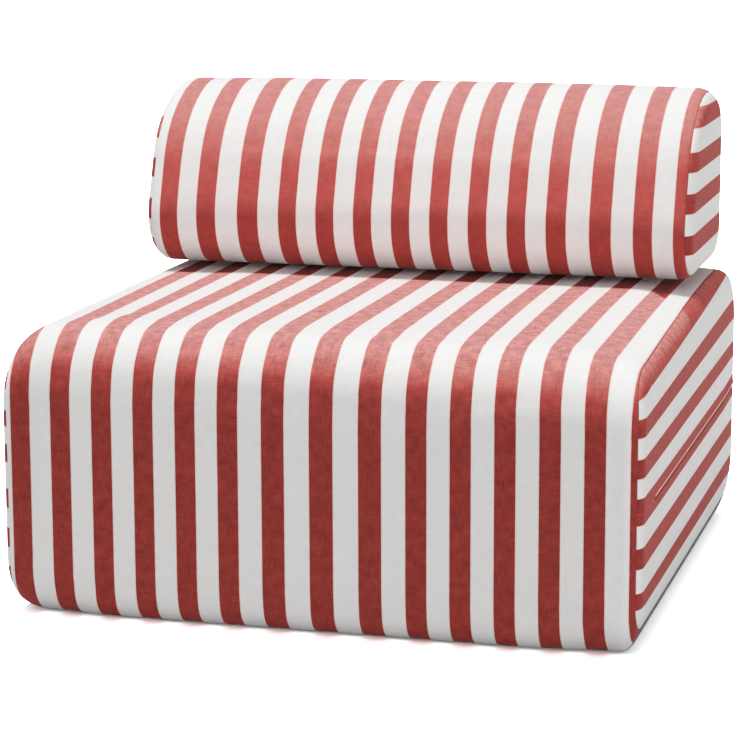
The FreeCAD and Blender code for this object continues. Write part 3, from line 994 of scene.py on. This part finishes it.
def heldPlaces(shape, places, onZip):
    # Sewn or resting places of a cover: seams, zip line and underside
    grip = shape["grip"]
    x, _, z = places.T
    seams = [np.exp(-((x - seam) / grip["seam"]) ** 2) for seam in shape["seams"]]
    zipLine = np.exp(-((z - shape["zip"]) / grip["zip"]) ** 2) * onZip
    return np.maximum.reduce([*seams, zipLine, (z < grip["below"]) * 1.0])


def seatHeld(places):
    grip = seatShape["grip"]
    x, y, _ = places.T
    onSide = (np.abs(x) > grip["side"]) | (y > grip["behind"])
    return heldPlaces(seatShape, places, onSide & (y > grip["front"]))


def bolsterHeld(places):
    return heldPlaces(bolsterShape, places, places[:, 1] > bolsterShape["grip"]["behind"])


def seatWrapPanel(place, runs):
    if place < runs["backSeam"] or place > runs["frontSeam"]:
        return "seatBasePanel"
    if place < runs["lowerLip"]:
        return "seatBackLowerPanel"
    return "slit" if place < runs["upperLip"] else "seatMainPanel"


def seatEndPanel(side, centre):
    stripes = rightStripes if side == "right" else leftStripes
    if abs(centre.z - seatShape["zip"]) < zipLips["edge"] - 0.01:
        return "slit", stripes
    level = "Upper" if centre.z > seatShape["zip"] else "Lower"
    return "seat" + side.capitalize() + level + "Panel", stripes


def bolsterWrapPanel(place, runs):
    return "slit" if runs["lowerLip"] < place < runs["upperLip"] else "bolsterWrapPanel"


def bolsterEndPanel(side, centre):
    return ("bolsterRightEnd", rightEndStripes) if side == "right" else ("bolsterLeftEnd", leftEndStripes)


covers = {
    "seat": {
        "shape": seatShape, "outline": seatOutline, "ringAt": seatRing, "stripes": seatStripes,
        "ends": (rightStripes, leftStripes), "wrapPanel": seatWrapPanel, "endPanel": seatEndPanel,
        "onZip": onSeatZip, "held": seatHeld,
        "nodes": {
            "seatMainPanel": "seat_main_panel", "seatBackLowerPanel": "seat_back_lower_panel",
            "seatRightUpperPanel": "seat_right_upper_panel", "seatRightLowerPanel": "seat_right_lower_panel",
            "seatLeftUpperPanel": "seat_left_upper_panel", "seatLeftLowerPanel": "seat_left_lower_panel",
            "seatBasePanel": "seat_base_panel",
        },
    },
    "bolster": {
        "shape": bolsterShape, "outline": bolsterOutline, "ringAt": None, "stripes": bolsterStripes,
        "ends": (rightEndStripes, leftEndStripes), "wrapPanel": bolsterWrapPanel, "endPanel": bolsterEndPanel,
        "onZip": onBolsterZip, "held": bolsterHeld,
        "nodes": {
            "bolsterWrapPanel": "bolster_wrap_panel", "bolsterRightEnd": "bolster_right_end_panel",
            "bolsterLeftEnd": "bolster_left_end_panel",
        },
    },
}
stripedCanvas = [canvas[key] for key in canvasOrder]
ownFinishes = {
    "seatBasePanel": [plain["baseCloth"]] * len(canvasOrder),
    # The bolster's wrap takes the paler, lit copy of the red: painted light
    "bolsterWrapPanel": [canvas["bolsterLitRed"]] + stripedCanvas[1:],
}


def makeCover(body):
    cover = covers[body]
    shape, outline, onZip = cover["shape"], cover["outline"], cover["onZip"]
    bm = closedCushion(outline, coverColumns(shape, cover["stripes"]), cover["ringAt"])
    moveSource = bm.copy()
    for side, stripes in zip((1, -1), cover["ends"]):
        cutEnd(bm, shape, side, stripes)
    runs = rowRuns(outline, shape["rows"])
    panels = sortFaces(bm, shape, runs, cover["wrapPanel"], cover["endPanel"], cover["stripes"], onZip)
    start, shift = swell(body, moveSource, cover["held"])
    moves = carried(np.array([v.co for v in bm.verts]), start, shift)
    moveSource.free()
    dressCushion(bm, shape, onZip, moves)
    for name, node in cover["nodes"].items():
        cutPanel(bm, name, panels[name], body, node, ownFinishes.get(name, stripedCanvas))
    print(body, "cover", len(bm.faces), "faces")
    bm.free()


filling = {
    "foam": 18.5, "endRoom": 0.5, "foamColumns": 41, "cutEase": 2.0, "comfortSplit": 300.0, "layerGap": 0.1,
    "waddingOuter": 3.5, "waddingThick": 12.0, "waddingColumns": 33, "zipRoom": 16.5, "zipFront": -352.0,
    "endFacing": 0.9,
}


def fillPiece(name, mesh, body, node, finish):
    mesh.transform(toMetres)
    mesh.materials.append(plain[finish])
    piece = link(bpy.data.objects.new(name, mesh))
    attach(piece, body)
    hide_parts(node)
    return piece


def roundedColumns(shape, reach, count):
    return list(shape["centre"] + reach * np.sin(np.linspace(-math.pi / 2, math.pi / 2, count)))


def foamBlock(outline, shape, keepAbove=None, keepBelow=None):
    # Foam cut to the cushion's rounded form, its cut edges a little eased
    depth = filling["foam"] - cadStart
    columns = roundedColumns(shape, shape["half"] - filling["foam"] - filling["endRoom"], filling["foamColumns"])
    bm = closedCushion(lambda x: outline(x, depth), columns)
    for level, clearAbove in ((keepAbove, False), (keepBelow, True)):
        if level is not None:
            cut = bmesh.ops.bisect_plane(bm, geom=bm.verts[:] + bm.edges[:] + bm.faces[:], plane_co=(0, 0, level),
                                         plane_no=(0, 0, 1), clear_outer=clearAbove, clear_inner=not clearAbove)
            rim = [e for e in cut["geom_cut"] if isinstance(e, bmesh.types.BMEdge)]
            bmesh.ops.contextual_create(bm, geom=rim)
            bmesh.ops.bevel(bm, geom=rim, offset=filling["cutEase"], segments=2, affect="EDGES", profile=0.5)
    bmesh.ops.recalc_face_normals(bm, faces=bm.faces[:])
    mesh = bpy.data.meshes.new("foamBlock")
    bm.to_mesh(mesh)
    bm.free()
    return mesh


def waddingWrap(outline, shape, onZip):
    # Fibre wrap under the cover, left open along the zip
    outer, gap = filling["waddingOuter"], filling["zipRoom"]
    columns = roundedColumns(shape, shape["half"] - cadStart - outer, filling["waddingColumns"])
    bm = closedCushion(lambda x: outline(x, outer), columns)
    for level in (shape["zip"] - gap, shape["zip"] + gap):
        cutFaces(bm, lambda face: True, (0, 0, level), (0, 0, 1))
    cutFaces(bm, lambda face: abs(face.normal.x) > filling["endFacing"], (0, filling["zipFront"], 0), (0, 1, 0))
    bm.faces.ensure_lookup_table()
    centres = np.array([f.calc_center_median() for f in bm.faces])
    inRoom = (np.abs(centres[:, 2] - shape["zip"]) < gap) & (onZip(centres) > 0.0)
    bmesh.ops.delete(bm, geom=[f for f, gone in zip(bm.faces[:], inRoom) if gone], context="FACES")
    mesh = bpy.data.meshes.new("waddingWrap")
    bm.to_mesh(mesh)
    bm.free()
    mesh.polygons.foreach_set("use_smooth", [True] * len(mesh.polygons))
    return mesh


def makeFillings():
    split, gap = filling["comfortSplit"], filling["layerGap"]
    base = foamBlock(seatOutline, seatShape, keepBelow=split - gap)
    fillPiece("seatBaseFoam", base, "seat", "seat_base_foam", "firmFoam")
    comfort = foamBlock(seatOutline, seatShape, keepAbove=split + gap)
    fillPiece("seatComfortFoam", comfort, "seat", "seat_comfort_foam", "softFoam")
    roll = foamBlock(bolsterOutline, bolsterShape)
    fillPiece("bolsterFoam", roll, "bolster", "bolster_foam", "softFoam")
    for body, cover in covers.items():
        wrap = waddingWrap(cover["outline"], cover["shape"], cover["onZip"])
        piece = fillPiece(body + "Wadding", wrap, body, body + "_wadding", "fibreWadding")
        loft = piece.modifiers.new("fibreLoft", "SOLIDIFY")
        loft.thickness = filling["waddingThick"] * mm
        loft.offset = -1.0
    print("foam and wadding ready")


def finishHardware():
    # The zips and the hook and loop strips keep their CAD shapes
    finishes = {"tape": "zipTapeCloth", "coil": "zipCoilNylon", "stops": "zipPaintedMetal", "slider": "zipPaintedMetal",
                "pull": "zipPaintedMetal", "loop_strips": "loopTapePile", "hook_strips": "hookTapeNylon"}
    for name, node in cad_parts.items():
        for ending, finish in finishes.items():
            if name.endswith(ending):
                node.data.materials.clear()
                node.data.materials.append(plain[finish])
    print("zip and strip finishes ready")


for body in covers:
    makeCover(body)
makeFillings()
finishHardware()
